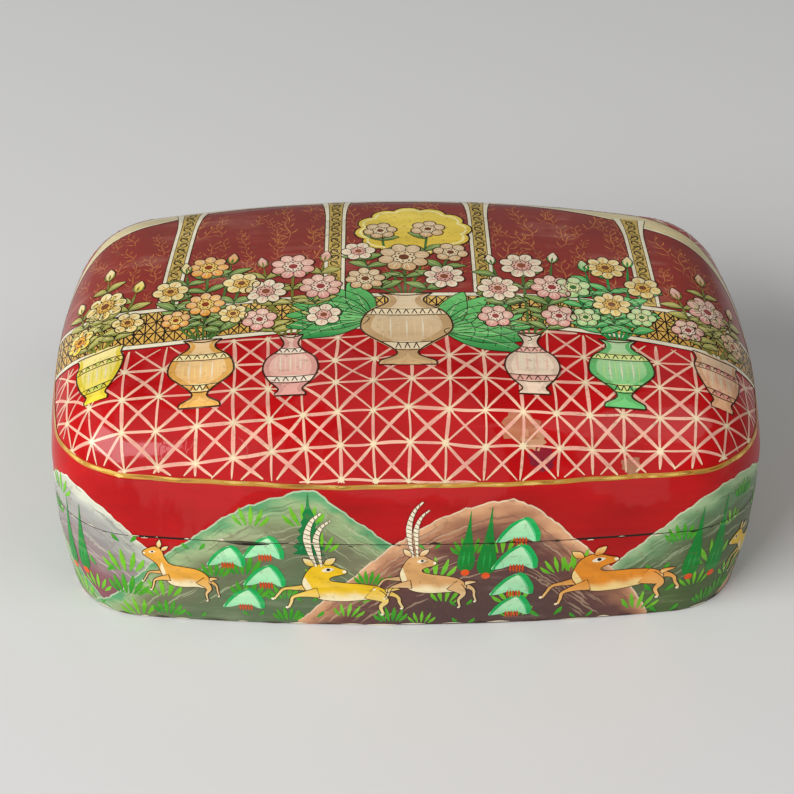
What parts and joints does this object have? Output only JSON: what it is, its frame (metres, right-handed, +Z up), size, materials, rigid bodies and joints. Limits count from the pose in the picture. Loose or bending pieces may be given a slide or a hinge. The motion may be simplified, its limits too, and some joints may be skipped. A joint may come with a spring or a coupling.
{
  "type": "painted lidded box",
  "caption": "Low rectangular lacquered keepsake box with bowed sides, wide round corners and a lift-off domed lid that is steadied by a collar inside the mouth.",
  "frame": {"origin": "centre of the underside, on the surface that the box stands on", "axes": "+X along the length, to the viewer's right, +Y towards the back, +Z up"},
  "size_m": [0.216, 0.142, 0.08],
  "materials": {
    "painted_lacquer": "gloss",
    "floor_lacquer": "satin",
    "collar_lacquer": "satin"
  },
  "bodies": {
    "base": {"base_wall": "painted_lacquer", "floor_board": "floor_lacquer", "lid_collar": "collar_lacquer"},
    "lid": {"lid_shell": "painted_lacquer"}
  },
  "joints": [
    {"name": "lid_lift", "type": "slide", "parent": "base", "child": "lid", "axis": [0, 0, 1], "range_m": [0, 0.08]}
  ]
}
